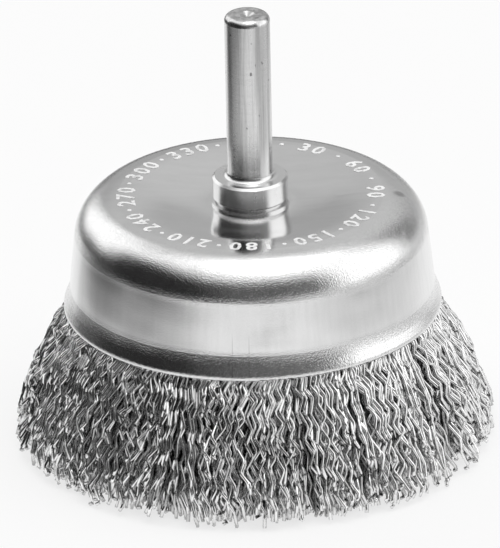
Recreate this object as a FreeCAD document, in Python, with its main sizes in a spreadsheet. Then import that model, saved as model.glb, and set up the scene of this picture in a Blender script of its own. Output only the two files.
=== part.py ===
"""Crimped wire cup brush on a plain round shank.

The brush stands on its wire tips: the origin lies on the axis in the plane of the tips, and +Z points
up the shank. A drawn steel cup and a smaller inner cup hold crimped steel wires between them. Each
wire is folded over a round anchor ring, which sits at the centre of the cup's rounded shoulder. The
turned shank passes through both cups and a washer, and its tail is riveted over underneath.
"""

import FreeCAD, Part
import math
import os

import Sketcher

# Driving dimensions in millimetres, or plain counts
DIMENSIONS = {
    "cup_height": (15.6, "cup, from the rim up to the flat top"),
    "cup_sheet": (1.0, "thickness of the cup's sheet"),
    "top_dia": (45.6, "cup, where the wall's line would meet the flat top"),
    "wall_taper": (1.4, "how much wider the wall is at its foot, on the radius"),
    "step_out": (0.8, "how far the rim band stands out from the wall"),
    "rim_band": (0.6, "upright band at the cup's rim"),
    "step_height": (1.9, "height of the step between wall and rim band"),
    "shoulder_round": (5.8, "outside radius of the shoulder"),
    "step_blend": (5.0, "wide blend from the wall into the step"),
    "step_round": (0.8, "blend from the step into the rim band"),
    "edge_round": (0.3, "rounding of the cup's cut edge"),
    "dish_depth": (0.9, "how far riveting draws down the middle of the top"),
    "top_band": (1.0, "flat band between the shallow dish in the top and the shoulder"),
    "seat_dia": (12.0, "flat seat under the collar"),
    "shank_dia": (6.0, "shank that goes into the chuck"),
    "shank_length": (23.0, "shank above the collar"),
    "shank_end_round": (0.9, "rounding of the shank's end"),
    "shank_root_round": (0.7, "fillet between shank and collar"),
    "centre_mark_dia": (2.0, "lathe centre mark in the shank's end"),
    "centre_mark_depth": (0.5, "depth of the centre mark"),
    "collar_dia": (10.0, "collar that seats on the cup"),
    "collar_height": (3.8, "height of the collar"),
    "collar_chamfer": (0.3, "chamfers of the collar's edges"),
    "foot_lip_dia": (10.4, "thin lip at the collar's foot"),
    "foot_lip_height": (0.3, "thin lip at the collar's foot"),
    "foot_groove_dia": (9.0, "groove between the lip and the collar"),
    "foot_groove_height": (0.3, "groove between the lip and the collar"),
    "tail_dia": (6.0, "tail of the shank inside the cups"),
    "head_dia": (9.4, "riveted head"),
    "head_height": (1.7, "riveted head"),
    "washer_room": (2.3, "between the washer and the inner cup's wall"),
    "washer_thickness": (1.5, "washer under the riveted head"),
    "washer_chamfer": (0.25, "washer, chamfers of the rim"),
    "inner_sheet": (1.0, "thickness of the inner cup's sheet"),
    "inner_height": (10.4, "inner cup, from its rim to its top"),
    "inner_draft": (1.5, "how much narrower the inner cup's top is than its rim, on the radius"),
    "inner_round": (2.6, "outside radius of the inner cup's corner"),
    "ring_wire_dia": (2.5, "wire that the anchor ring is bent from"),
    "trim_height": (18.4, "wire tips below the cup's rim"),
    "tip_flare": (7.2, "how far the outermost tips stand out beyond the rim"),
    "hollow_flare": (2.7, "how far the innermost tips stand out from the inner cup's rim"),
    "tip_rise": (0.6, "how much higher the outermost tips end than those inside them"),
    "tip_scatter": (1.0, "how unevenly the outermost wires end"),
    "flare_power": (1.8, "how early the outer wires flare out below the rim"),
    "crimp_shift": (0.9, "side to side travel of the crimp"),
    "crimp_relief": (0.6, "how far the outer face of a strand draws back at every second bend"),
    "strand_gap": (0.15, "gap between neighbouring strands"),
    "layer_gap": (0.10, "gap between the outer and the inner layer of strands"),
    "seat_gap": (0.02, "clearance of pieces that seat on each other"),
    "bundle_count": (36, "bundles of wires round the brush"),
    "crimp_count": (8, "bends of an outer leg below the rim"),
    "inner_crimp_count": (4, "bends of an inner leg below the inner cup"),
}

# Heights above the wire tips
RIM_Z = "Sizes.trim_height"
TOP_Z = "(Sizes.trim_height + Sizes.cup_height)"
STEP_FOOT_Z = "(Sizes.trim_height + Sizes.rim_band)"
STEP_TOP_Z = f"({STEP_FOOT_Z} + Sizes.step_height)"
SEAT_Z = f"({TOP_Z} - Sizes.dish_depth)"
COLLAR_TOP_Z = f"({SEAT_Z} + Sizes.collar_height)"
SHANK_END_Z = f"({COLLAR_TOP_Z} + Sizes.shank_length)"
INNER_TOP_Z = f"({SEAT_Z} - Sizes.cup_sheet)"
INNER_RIM_Z = f"({INNER_TOP_Z} - Sizes.inner_height)"
WASHER_TOP_Z = f"({INNER_TOP_Z} - Sizes.inner_sheet)"
HEAD_TOP_Z = f"({WASHER_TOP_Z} - Sizes.washer_thickness)"
HEAD_FOOT_Z = f"({HEAD_TOP_Z} - Sizes.head_height)"

# The cup's wall leans out by WALL_SLOPE; WALL_SLANT turns a thickness square to it into a level one
WALL_FOOT_R = "(Sizes.top_dia / 2 + Sizes.wall_taper)"
RIM_R = "(Sizes.top_dia / 2 + Sizes.wall_taper + Sizes.step_out)"
WALL_DROP = "(Sizes.cup_height - Sizes.rim_band - Sizes.step_height)"
WALL_SLOPE = f"(Sizes.wall_taper / {WALL_DROP})"
WALL_SLANT = f"sqrt(1 + {WALL_SLOPE} ^ 2)"
WALL_INSET = f"(Sizes.cup_sheet * {WALL_SLANT})"
TAIL_HOLE_R = "(Sizes.tail_dia / 2 + Sizes.seat_gap)"

# The wires fold round the centre of the shoulder
FOLD_Z = f"({TOP_Z} - Sizes.shoulder_round)"
FOLD_R = (
    f"(Sizes.top_dia / 2 + Sizes.shoulder_round * {WALL_SLOPE} - Sizes.shoulder_round * {WALL_SLANT})"
)
FOLD_REACH = "(Sizes.shoulder_round - Sizes.cup_sheet - Sizes.seat_gap)"
DISH_R = f"({FOLD_R} - Sizes.top_band)"
DISH_MIDDLE_R = f"((Sizes.seat_dia / 2 + {DISH_R}) / 2)"
INNER_RIM_R = f"({FOLD_R} - {FOLD_REACH} - Sizes.seat_gap)"
INNER_TOP_R = f"({INNER_RIM_R} - Sizes.inner_draft)"
WASHER_R = f"({INNER_TOP_R} - Sizes.inner_sheet - Sizes.washer_room)"

FOLD_SIDE_COUNT = 3
PAIR_COUNT = 2
TIP_LEVEL_COUNT = 5
TIP_LEVEL_STEP_COUNT = 7
CORE_BEND_COUNT = 3


def make_sheet(doc):
    """Writes the driving dimensions into a sheet, one row each, with the value's alias."""
    sheet = doc.addObject("Spreadsheet::Sheet", "Sizes")
    for row, (alias, (value, meaning)) in enumerate(DIMENSIONS.items(), start=1):
        sheet.set(f"A{row}", alias)
        sheet.set(f"B{row}", str(value))
        sheet.setAlias(f"B{row}", alias)
        sheet.set(f"C{row}", meaning)
    doc.recompute()
    return sheet


def number(sheet, expression):
    """The value of an expression on the sheet."""
    return float(sheet.evalExpression(expression))


def origin_plane(body, role):
    """The body's own origin plane of that role."""
    return next(feature for feature in body.Origin.OriginFeatures if feature.Role == role)


def profile_sketch(body, sheet, name, outline):
    """Draws a closed outline on the XZ plane, each corner bound to the sheet.

    outline lists (corner name, radius expression, height expression); radius None is on the axis. A
    fourth entry makes the side after that corner an arc and gives the radius its centre lies at.
    """
    sketch = body.newObject("Sketcher::SketchObject", name)
    sketch.AttachmentSupport = [(origin_plane(body, "XZ_Plane"), "")]
    sketch.MapMode = "FlatFace"
    corners = [
        FreeCAD.Vector(0 if radius is None else number(sheet, radius), number(sheet, height), 0)
        for _, radius, height, *_ in outline
    ]
    ends = []
    for index, (start, end) in enumerate(zip(corners, corners[1:] + corners[:1])):
        centre = outline[index][3:]
        if centre:
            sketch.addGeometry(arc_about(number(sheet, centre[0]), start, end), False)
        else:
            sketch.addGeometry(Part.LineSegment(start, end), False)
        runs_forward = sketch.Geometry[index].StartPoint.distanceToPoint(start) < 1e-6
        ends.append((1, 2) if runs_forward else (2, 1))
    for index, (corner, radius, height, *centre) in enumerate(outline):
        after = (index + 1) % len(outline)
        first, last = ends[index]
        sketch.addConstraint(
            Sketcher.Constraint("Coincident", index, last, after, ends[after][0])
        )
        if radius is None:
            sketch.addConstraint(Sketcher.Constraint("PointOnObject", index, first, -2))
        else:
            bind_point(sketch, "DistanceX", index, first, corners[index].x, f"{corner}_r", radius)
        bind_point(sketch, "DistanceY", index, first, corners[index].y, f"{corner}_z", height)
        if centre:
            arc_centre = sketch.Geometry[index].Center.x
            bind_point(sketch, "DistanceX", index, 3, arc_centre, f"{corner}_centre_r", centre[0])
    return sketch


def arc_about(centre_x, start, end):
    """The short arc from start to end whose centre has that x."""
    squares = (end.x - centre_x) ** 2 - (start.x - centre_x) ** 2 + end.y**2 - start.y**2
    centre = FreeCAD.Vector(centre_x, squares / (2 * (end.y - start.y)), 0)
    circle = Part.Circle(centre, FreeCAD.Vector(0, 0, 1), centre.distanceToPoint(start))
    first, last = (math.atan2(point.y - centre.y, point.x - centre.x) for point in (start, end))
    if (last - first) % (2 * math.pi) > math.pi:
        first, last = last, first
    return Part.ArcOfCircle(circle, first, last)


def bind_point(sketch, kind, index, point, value, name, expression):
    """Sets one coordinate of a side's point from the origin, named and bound to the sheet."""
    number_in_sketch = sketch.addConstraint(Sketcher.Constraint(kind, -1, 1, index, point, value))
    sketch.renameConstraint(number_in_sketch, name)
    sketch.setExpression(f"Constraints.{name}", expression)


def revolved_body(doc, sheet, label, outline):
    """A body turned about the Z axis from an outline."""
    body = doc.addObject("PartDesign::Body", label)
    body.Label = label
    sketch = profile_sketch(body, sheet, f"{label}_profile", outline)
    turned = body.newObject("PartDesign::Revolution", f"{label}_turned")
    turned.Profile = sketch
    turned.ReferenceAxis = (sketch, ["V_Axis"])
    turned.Angle = 360
    doc.recompute()
    return body


def ring_edges(sheet, feature, places):
    """Names of the feature's level circular edges at the given (radius, height) expressions."""
    wanted = [(number(sheet, radius), number(sheet, height)) for radius, height in places]
    names = []
    for index, edge in enumerate(feature.Shape.Edges, start=1):
        curve = edge.Curve
        if not isinstance(curve, Part.Circle) or abs(curve.Axis.z) < 0.999:
            continue
        if any(math.dist((curve.Radius, curve.Center.z), place) < 1e-4 for place in wanted):
            names.append(f"Edge{index}")
    if len(names) != len(wanted):
        raise ValueError(f"{feature.Label}: {len(names)} edges found for {len(wanted)} places")
    return names


def dress_edges(doc, sheet, body, kind, size, places):
    """Adds a Fillet or a Chamfer of that size to the level circular edges at the places."""
    base = body.Tip
    dressed = body.newObject(f"PartDesign::{kind}", f"{body.Label}_{kind.lower()}")
    dressed.Base = (base, ring_edges(sheet, base, places))
    dressed.setExpression("Radius" if kind == "Fillet" else "Size", size)
    doc.recompute()


def make_cup_shell(doc, sheet):
    """The drawn cup: dished top, round shoulder, tapered wall, stepped rim band, open below."""
    under_top_z = f"({TOP_Z} - Sizes.cup_sheet)"
    dish_inside_z = f"({TOP_Z} - Sizes.dish_depth / 2 - Sizes.cup_sheet)"
    inside_corner_r = f"Sizes.top_dia / 2 + Sizes.cup_sheet * {WALL_SLOPE} - {WALL_INSET}"
    body = revolved_body(
        doc,
        sheet,
        "cup_shell",
        [
            ("hole_top", TAIL_HOLE_R, SEAT_Z),
            ("seat", "Sizes.seat_dia / 2", SEAT_Z, "Sizes.seat_dia / 2"),
            ("dish_middle", DISH_MIDDLE_R, f"{TOP_Z} - Sizes.dish_depth / 2", DISH_R),
            ("dish", DISH_R, TOP_Z),
            ("shoulder", "Sizes.top_dia / 2", TOP_Z),
            ("wall_foot", WALL_FOOT_R, STEP_TOP_Z),
            ("step_foot", RIM_R, STEP_FOOT_Z),
            ("rim", RIM_R, RIM_Z),
            ("rim_inside", f"{RIM_R} - Sizes.cup_sheet", RIM_Z),
            ("step_foot_inside", f"{RIM_R} - Sizes.cup_sheet", STEP_FOOT_Z),
            ("wall_foot_inside", f"{WALL_FOOT_R} - {WALL_INSET}", STEP_TOP_Z),
            ("shoulder_inside", inside_corner_r, under_top_z),
            ("dish_inside", DISH_R, under_top_z, DISH_R),
            ("dish_middle_inside", DISH_MIDDLE_R, dish_inside_z, "Sizes.seat_dia / 2"),
            ("seat_inside", "Sizes.seat_dia / 2", INNER_TOP_Z),
            ("hole_foot", TAIL_HOLE_R, INNER_TOP_Z),
        ],
    )
    dress_edges(doc, sheet, body, "Fillet", "Sizes.shoulder_round", [("Sizes.top_dia / 2", TOP_Z)])
    inside_round = "Sizes.shoulder_round - Sizes.cup_sheet"
    dress_edges(doc, sheet, body, "Fillet", inside_round, [(inside_corner_r, under_top_z)])
    blend_edges = [(WALL_FOOT_R, STEP_TOP_Z), (f"{WALL_FOOT_R} - {WALL_INSET}", STEP_TOP_Z)]
    dress_edges(doc, sheet, body, "Fillet", "Sizes.step_blend", blend_edges)
    step_edges = [(RIM_R, STEP_FOOT_Z), (f"{RIM_R} - Sizes.cup_sheet", STEP_FOOT_Z)]
    dress_edges(doc, sheet, body, "Fillet", "Sizes.step_round", step_edges)
    dress_edges(doc, sheet, body, "Fillet", "Sizes.edge_round", [(RIM_R, RIM_Z)])
    return body


def make_shank(doc, sheet):
    """The turned shank: centre-marked end, collar on the cup, tail through it and riveted head."""
    shank_r = "Sizes.shank_dia / 2"
    collar_r = "Sizes.collar_dia / 2"
    lip_top_z = f"({SEAT_Z} + Sizes.foot_lip_height)"
    groove_top_z = f"({SEAT_Z} + Sizes.foot_lip_height + Sizes.foot_groove_height)"
    body = revolved_body(
        doc,
        sheet,
        "shank",
        [
            ("centre_mark", None, f"{SHANK_END_Z} - Sizes.centre_mark_depth"),
            ("centre_mark_edge", "Sizes.centre_mark_dia / 2", SHANK_END_Z),
            ("end", shank_r, SHANK_END_Z),
            ("root", shank_r, COLLAR_TOP_Z),
            ("collar_top", collar_r, COLLAR_TOP_Z),
            ("collar_foot", collar_r, groove_top_z),
            ("groove_top", "Sizes.foot_groove_dia / 2", groove_top_z),
            ("groove_foot", "Sizes.foot_groove_dia / 2", lip_top_z),
            ("lip_top", "Sizes.foot_lip_dia / 2", lip_top_z),
            ("lip_foot", "Sizes.foot_lip_dia / 2", SEAT_Z),
            ("tail_top", "Sizes.tail_dia / 2", SEAT_Z),
            ("tail_foot", "Sizes.tail_dia / 2", HEAD_TOP_Z),
            ("head_top", "Sizes.head_dia / 2", HEAD_TOP_Z),
            ("head_foot", "Sizes.head_dia / 2", HEAD_FOOT_Z),
            ("head_centre", None, HEAD_FOOT_Z),
        ],
    )
    dress_edges(doc, sheet, body, "Fillet", "Sizes.shank_root_round", [(shank_r, COLLAR_TOP_Z)])
    dress_edges(doc, sheet, body, "Fillet", "Sizes.shank_end_round", [(shank_r, SHANK_END_Z)])
    collar_edges = [(collar_r, COLLAR_TOP_Z), (collar_r, groove_top_z)]
    dress_edges(doc, sheet, body, "Chamfer", "Sizes.collar_chamfer", collar_edges)
    head_round = "Sizes.head_height * 0.85"
    dress_edges(doc, sheet, body, "Fillet", head_round, [("Sizes.head_dia / 2", HEAD_FOOT_Z)])
    return body


def make_inner_cup(doc, sheet):
    """The inner cup: flat top under the outer cup, wall widening to the rim that pinches the wires."""
    corner_r = INNER_TOP_R
    inside_r = f"({INNER_TOP_R} - Sizes.inner_sheet)"
    body = revolved_body(
        doc,
        sheet,
        "inner_cup",
        [
            ("hole_top", TAIL_HOLE_R, INNER_TOP_Z),
            ("corner", corner_r, INNER_TOP_Z),
            ("rim", INNER_RIM_R, INNER_RIM_Z),
            ("rim_inside", f"{INNER_RIM_R} - Sizes.inner_sheet", INNER_RIM_Z),
            ("corner_inside", inside_r, WASHER_TOP_Z),
            ("hole_foot", TAIL_HOLE_R, WASHER_TOP_Z),
        ],
    )
    dress_edges(doc, sheet, body, "Fillet", "Sizes.inner_round", [(corner_r, INNER_TOP_Z)])
    inside_round = "Sizes.inner_round - Sizes.inner_sheet"
    dress_edges(doc, sheet, body, "Fillet", inside_round, [(inside_r, WASHER_TOP_Z)])
    return body


def make_washer(doc, sheet):
    """The washer that spreads the riveted head's load over the inner cup."""
    body = revolved_body(
        doc,
        sheet,
        "rivet_washer",
        [
            ("hole_top", TAIL_HOLE_R, WASHER_TOP_Z),
            ("edge_top", WASHER_R, WASHER_TOP_Z),
            ("edge_foot", WASHER_R, HEAD_TOP_Z),
            ("hole_foot", TAIL_HOLE_R, HEAD_TOP_Z),
        ],
    )
    dress_edges(doc, sheet, body, "Chamfer", "Sizes.washer_chamfer", [(WASHER_R, HEAD_TOP_Z)])
    return body


def make_anchor_ring(doc):
    """The closed wire ring that the brush wires are folded over."""
    ring = doc.addObject("Part::Torus", "anchor_ring")
    ring.Label = "anchor_ring"
    ring.setExpression("Radius1", FOLD_R)
    ring.setExpression("Radius2", "Sizes.ring_wire_dia / 2")
    ring.setExpression("Placement.Base.z", FOLD_Z)
    return ring


def section(near, far, width, shift=0):
    """Four corners of a strand's cross-section.

    near and far are its (radius, height) edges on the ring's side and on the far side.
    """
    half = width / 2
    return [
        FreeCAD.Vector(near[0], shift - half, near[1]),
        FreeCAD.Vector(near[0], shift + half, near[1]),
        FreeCAD.Vector(far[0], shift + half, far[1]),
        FreeCAD.Vector(far[0], shift - half, far[1]),
    ]


def solid_through(sections):
    """A solid with flat faces through a row of four-cornered sections."""
    faces = []
    for here, there in zip(sections, sections[1:]):
        for side in range(4):
            after = (side + 1) % 4
            corners = [here[side], here[after], there[after], there[side], here[side]]
            faces.append(Part.Face(Part.makePolygon(corners)))
    for end in (sections[0], sections[-1]):
        faces.append(Part.Face(Part.makePolygon(end + end[:1])))
    solid = Part.Solid(Part.Shell(faces))
    return solid if solid.Volume > 0 else solid.reversed()


class StrandLayout:
    """Where the two layers of folded wire strands run, worked out from the sheet.

    A core strand is folded on the anchor ring itself. A cover strand is folded over it, under the
    cup's shoulder, so at the tips its two legs lie outside and inside those of the core strand.
    """

    def __init__(self, sheet):
        self.sheet = sheet
        self.bundles = round(self.of("Sizes.bundle_count"))
        self.strands = self.bundles * PAIR_COUNT
        self.crimps = round(self.of("Sizes.crimp_count"))
        self.inner_crimps = round(self.of("Sizes.inner_crimp_count"))
        self.rim_z = self.of(RIM_Z)
        self.fold_r = self.of(FOLD_R)
        self.fold_z = self.of(FOLD_Z)
        self.layer_gap = self.of("Sizes.layer_gap")
        # a flat-sided fold clears the round ring at the middle of each side
        ring_clear = self.of("Sizes.ring_wire_dia / 2 + Sizes.seat_gap")
        self.core_near = ring_clear / math.cos(math.pi / FOLD_SIDE_COUNT / 2)
        self.cover_far = self.of(FOLD_REACH)
        middle = (self.core_near + self.cover_far) / 2
        self.core_far = middle - self.layer_gap / 2
        self.cover_near = middle + self.layer_gap / 2
        # at the tips four legs share the depth between the outside and the hollow
        outside = self.of(f"{RIM_R} + Sizes.tip_flare")
        hollow = self.of(f"{INNER_RIM_R} + Sizes.hollow_flare")
        self.leg_depth = (outside - hollow - 3 * self.layer_gap) / 4
        step = self.leg_depth + self.layer_gap
        self.leg_far = [outside - step * leg for leg in range(4)]

    def of(self, expression):
        """The value of an expression on the sheet."""
        return number(self.sheet, expression)

    def width(self, radius):
        """Width of a strand that leaves the strand gap to its neighbours at that radius."""
        return 2 * radius * math.tan(math.pi / self.strands) - self.of("Sizes.strand_gap")

    def wall_inside(self, height):
        """Inside radius of the cup's tapered wall at a height, less the seating gap."""
        drop = self.of(TOP_Z) - height
        wall = self.of("Sizes.top_dia / 2") + self.of(WALL_SLOPE) * drop
        return wall - self.of(WALL_INSET) - self.of("Sizes.seat_gap")

    def rim_edges(self):
        """Near and far radius of the cover strands as they leave the cup."""
        rim_inside = self.of(f"{RIM_R} - Sizes.cup_sheet - Sizes.seat_gap")
        far = math.sqrt(rim_inside**2 - (self.width(rim_inside) / 2) ** 2)
        near = self.fold_r + self.cover_near + (far - self.wall_inside(self.rim_z)) / 2
        return near, far

    def fold(self, near_reach, far_reach):
        """Sections round the anchor ring, from the outer leg over the top to the inner leg."""
        width = self.width(self.fold_r - far_reach)
        sections = []
        for step in range(FOLD_SIDE_COUNT + 1):
            turn = math.pi * step / FOLD_SIDE_COUNT
            across, up = math.cos(turn), math.sin(turn)
            near = (self.fold_r + across * near_reach, self.fold_z + up * near_reach)
            far = (self.fold_r + across * far_reach, self.fold_z + up * far_reach)
            sections.append(section(near, far, width))
        return sections

    def flared(self, bend):
        """How much of the flare is reached at that bend of the outer leg, from 0 to 1."""
        return 1 - (1 - bend / self.crimps) ** self.of("Sizes.flare_power")

    def crimp_shift(self, bend):
        """Sideways place of a bend: the crimp goes from side to side."""
        return self.of("Sizes.crimp_shift / 2") * (1 if bend % 2 else -1)

    def crimp_relief(self, bend, bends, phase):
        """How far a bend's far face draws back: at every second bend, in turn with the neighbours."""
        drawn_back = bend < bends and (bend + phase) % 2 == 0
        return self.of("Sizes.crimp_relief") if drawn_back else 0

    def cover_outer_leg(self, phase):
        """Down the cup's wall, out at the rim, then flaring and crimped to the tip."""
        step_z = self.of(STEP_TOP_Z)
        near_rim, far_rim = self.rim_edges()
        near_wall = (self.fold_r + self.cover_near + near_rim) / 2
        width = self.width(near_wall)
        far_wall = math.sqrt(self.wall_inside(step_z) ** 2 - (width / 2) ** 2)
        leg = [section((near_wall, step_z), (far_wall, step_z), width)]
        leg.append(section((near_rim, self.rim_z), (far_rim, self.rim_z), self.width(near_rim)))
        far_tip = self.leg_far[0]
        near_tip = far_tip - self.leg_depth
        for bend in range(1, self.crimps + 1):
            height = self.rim_z * (1 - bend / self.crimps)
            near = near_rim + (near_tip - near_rim) * self.flared(bend)
            far = far_rim + (far_tip - far_rim) * self.flared(bend)
            far -= self.crimp_relief(bend, self.crimps, phase)
            shift = self.crimp_shift(bend)
            leg.append(section((near, height), (far, height), self.width(near), shift))
        return leg

    def cover_inner_leg(self, phase):
        """Down the inner cup to its rim, then crimped to the tip round the hollow."""
        top_z = self.of(INNER_RIM_Z)
        near_top, far_top = self.fold_r - self.cover_near, self.fold_r - self.cover_far
        near_tip = self.leg_far[3]
        far_tip = near_tip - self.leg_depth
        leg = [section((near_top, top_z), (far_top, top_z), self.width(far_top))]
        for bend in range(1, self.inner_crimps + 1):
            share = bend / self.inner_crimps
            near = near_top + (near_tip - near_top) * share
            far = far_top + (far_tip - far_top) * share
            width = self.width(far)
            far += self.crimp_relief(bend, self.inner_crimps, phase)
            height = top_z * (1 - share)
            shift = self.crimp_shift(bend)
            leg.append(section((near, height), (far, height), width, shift))
        return leg

    def cover_strand(self, phase):
        """A crimped strand from the outermost tip, over the core strand, to the innermost tip."""
        fold = self.fold(self.cover_near, self.cover_far)
        outer = self.cover_outer_leg(phase)
        return solid_through(outer[::-1] + fold + self.cover_inner_leg(phase))

    def core_strand(self):
        """A plainer strand, folded on the anchor ring, that fills the space inside the cover."""
        near_rim = self.fold_r + self.core_near
        far_rim = self.rim_edges()[0] - self.layer_gap
        far_tip = self.leg_far[1]
        near_tip = far_tip - self.leg_depth
        outer = [section((near_rim, self.rim_z), (far_rim, self.rim_z), self.width(near_rim))]
        for bend in (CORE_BEND_COUNT, self.crimps):
            height = self.rim_z * (1 - bend / self.crimps)
            near = near_rim + (near_tip - near_rim) * self.flared(bend)
            far = far_rim + (far_tip - far_rim) * self.flared(bend)
            outer.append(section((near, height), (far, height), self.width(near)))
        near_foot = self.leg_far[2]
        far_foot = near_foot - self.leg_depth
        inner = [section((near_foot, 0), (far_foot, 0), self.width(far_foot))]
        return solid_through(outer[::-1] + self.fold(self.core_near, self.core_far) + inner)

    def trimmings(self, lift):
        """What trimming takes off below the slanting tip of a cover strand's outer leg."""
        far = self.leg_far[0]
        near = far - self.leg_depth
        start = near - self.leg_depth / 2
        finish = far + self.leg_depth / 2
        slope = self.of("Sizes.tip_rise") / self.leg_depth
        below = -self.leg_depth
        depth = self.width(far)
        outline = [
            FreeCAD.Vector(start, depth, below),
            FreeCAD.Vector(start, depth, lift),
            FreeCAD.Vector(near, depth, lift),
            FreeCAD.Vector(finish, depth, lift + slope * (finish - near)),
            FreeCAD.Vector(finish, depth, below),
        ]
        face = Part.Face(Part.makePolygon(outline + outline[:1]))
        return face.extrude(FreeCAD.Vector(0, -2 * depth, 0))


def make_wire_bundles(doc, sheet):
    """The bundles of wires round the anchor ring, each two cover strands over two core strands."""
    layout = StrandLayout(sheet)
    core = layout.core_strand()
    scatter = layout.of("Sizes.tip_scatter")
    lifts = [scatter * level / (TIP_LEVEL_COUNT - 1) for level in range(TIP_LEVEL_COUNT)]
    covers = []
    for phase in range(PAIR_COUNT):
        cover = layout.cover_strand(phase)
        covers.append([cover.cut(layout.trimmings(lift)).Solids[0] for lift in lifts])
    axis = FreeCAD.Vector(0, 0, 1)
    pitch = 360 / layout.bundles
    bundles = []
    for index in range(layout.bundles):
        strands = []
        for pair in range(PAIR_COUNT):
            place = index * PAIR_COUNT + pair
            turn = pitch * ((pair + 0.5) / PAIR_COUNT - 0.5)
            level = place * TIP_LEVEL_STEP_COUNT % TIP_LEVEL_COUNT
            for strand in (core, covers[pair][level]):
                strand = strand.copy()
                strand.rotate(FreeCAD.Vector(), axis, turn)
                strands.append(strand)
        label = f"wire_bundle_{index + 1:02d}"
        bundle = doc.addObject("Part::Feature", label)
        bundle.Label = label
        bundle.Shape = Part.Compound(strands)
        bundle.Placement = FreeCAD.Placement(
            FreeCAD.Vector(), FreeCAD.Rotation(axis, index * pitch)
        )
        bundles.append(bundle)
    return bundles


def check_and_export(doc, pieces):
    """Stops on a failed object or a bad solid, then writes each piece to its own file."""
    failed = [item.Label for item in doc.Objects if {"Invalid", "Error"} & set(item.State)]
    if failed:
        raise RuntimeError(f"failed objects: {failed}")
    for piece in pieces:
        shape = piece.Shape
        if shape.isNull() or not shape.isValid() or shape.Volume <= 0:
            raise RuntimeError(f"{piece.Label} has a bad shape")
    os.makedirs("parts", exist_ok=True)
    for piece in pieces:
        piece.Shape.exportStep(f"parts/{piece.Label}.step")


def main():
    """Builds the brush and writes its pieces."""
    doc = FreeCAD.newDocument("cup_brush")
    sheet = make_sheet(doc)
    pieces = [
        make_cup_shell(doc, sheet),
        make_shank(doc, sheet),
        make_inner_cup(doc, sheet),
        make_washer(doc, sheet),
        make_anchor_ring(doc),
    ]
    doc.recompute()
    pieces += make_wire_bundles(doc, sheet)
    doc.recompute()
    check_and_export(doc, pieces)
    for piece in pieces[:6]:
        print(piece.Label, "volume", round(piece.Shape.Volume, 1), "mm3")


main()
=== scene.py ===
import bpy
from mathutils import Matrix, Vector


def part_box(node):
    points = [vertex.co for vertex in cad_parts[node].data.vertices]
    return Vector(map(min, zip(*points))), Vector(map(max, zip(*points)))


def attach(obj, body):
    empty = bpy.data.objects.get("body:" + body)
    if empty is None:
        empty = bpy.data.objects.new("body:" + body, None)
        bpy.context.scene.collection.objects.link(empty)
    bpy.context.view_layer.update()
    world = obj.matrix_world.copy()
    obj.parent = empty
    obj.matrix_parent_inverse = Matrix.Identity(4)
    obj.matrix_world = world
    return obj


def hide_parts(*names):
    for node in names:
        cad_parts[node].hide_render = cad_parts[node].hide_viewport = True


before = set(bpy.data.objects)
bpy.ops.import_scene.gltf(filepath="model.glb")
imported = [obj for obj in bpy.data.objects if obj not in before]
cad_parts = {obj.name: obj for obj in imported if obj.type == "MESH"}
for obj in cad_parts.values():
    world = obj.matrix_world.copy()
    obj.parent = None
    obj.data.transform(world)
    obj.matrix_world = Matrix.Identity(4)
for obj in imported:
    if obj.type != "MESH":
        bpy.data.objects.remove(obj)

"""Dresses the wire cup brush: thousands of crimped wires, plated steel, stamped numbers and a studio."""

import logging
import math
import random
from dataclasses import dataclass
from enum import Enum
from typing import Any, Optional, Sequence, Union

import bmesh
import bpy
from mathutils import Matrix, Vector

MM = 0.001
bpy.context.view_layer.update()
CUP_SHEET = 1.0 * MM
BUNDLES = 36
FOLD_DEPTH = 0.5
TO_DEGREES = 180 / math.pi
# The wires' own random tone, times painted shade that darkens the deeper wires.
WIRE_TONE_AND_PAINTED_SHADE = "wire_tone"

log = logging.getLogger("cup_brush")

# A ramp is where something starts and where it is full. A band is its middle, its reach to each side
# of that, and the width of its soft edge.
Number = Union[int, float]
Operand = Union["Signal", int, float]
Triple = tuple[float, float, float]
Ramp = tuple[float, float]
Band = tuple[float, float, float]
Sockets = dict[Union[int, str], Any]


class MathStep(Enum):
    """The Math node operations that the finishes use."""

    ADD = "ADD"
    SUBTRACT = "SUBTRACT"
    MULTIPLY = "MULTIPLY"
    POWER = "POWER"
    MAXIMUM = "MAXIMUM"
    ABSOLUTE = "ABSOLUTE"
    ARCTAN2 = "ARCTAN2"
    ARCSINE = "ARCSINE"


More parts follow.
